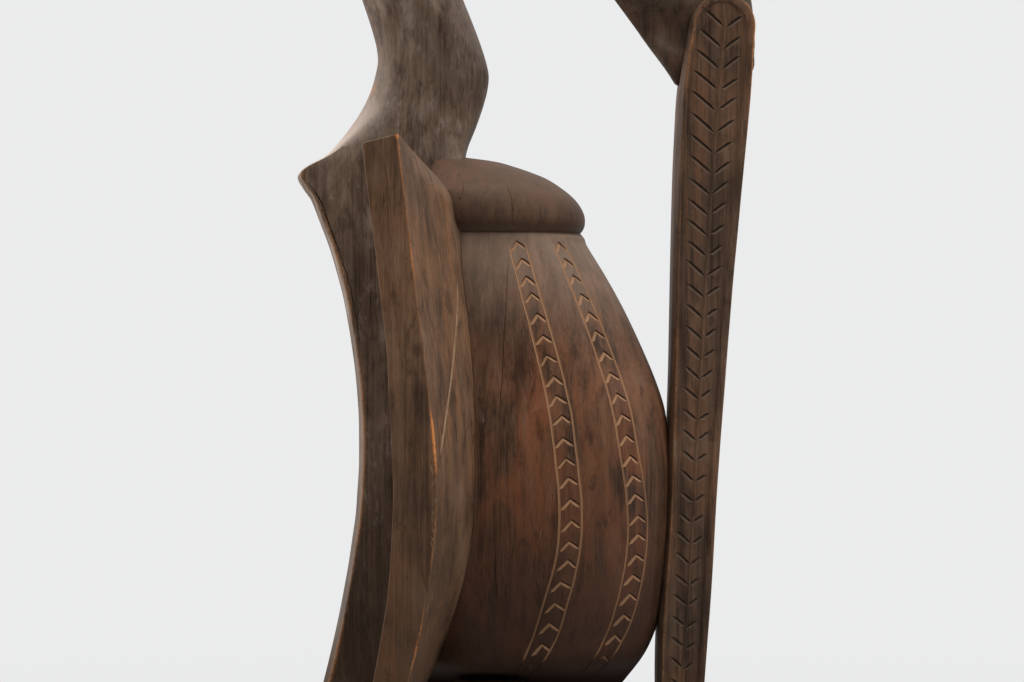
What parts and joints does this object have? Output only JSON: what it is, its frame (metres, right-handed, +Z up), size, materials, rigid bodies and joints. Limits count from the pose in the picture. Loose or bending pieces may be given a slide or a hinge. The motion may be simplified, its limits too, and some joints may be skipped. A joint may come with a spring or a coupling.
{
  "type": "carved hornbill statue",
  "caption": "Tall standing hornbill figure in dark carved wood, with plank wings, a swollen banded belly and a long beak that rests on it, on a rounded plinth",
  "frame": {"origin": "middle of the plinth's underside, in the plane that the figure is symmetric about", "axes": "+X the way the bird faces, +Y its left, +Z up"},
  "size_m": [0.4634, 0.4, 1.2063],
  "materials": {
    "dark_wood": "stained hardwood, hand carved, worn pale along its arrises",
    "red_wood": "reddish brown stained hardwood, rubbed, with a dull sheen",
    "grey_wood": "greyed brown hardwood, dusty and dry",
    "dowel_wood": "plain turned dowel"
  },
  "bodies": {
    "root": {"plinth": "dark_wood", "left_leg": "dark_wood", "right_leg": "dark_wood", "trunk": "red_wood", "back_neck": "grey_wood", "left_wing": "dark_wood", "right_wing": "dark_wood", "head": "grey_wood", "beak": "dark_wood", "left_wing_dowels": "dowel_wood", "right_wing_dowels": "dowel_wood", "back_dowels": "dowel_wood", "neck_dowel": "dowel_wood", "head_dowel": "dowel_wood", "beak_dowels": "dowel_wood"}
  },
  "joints": []
}
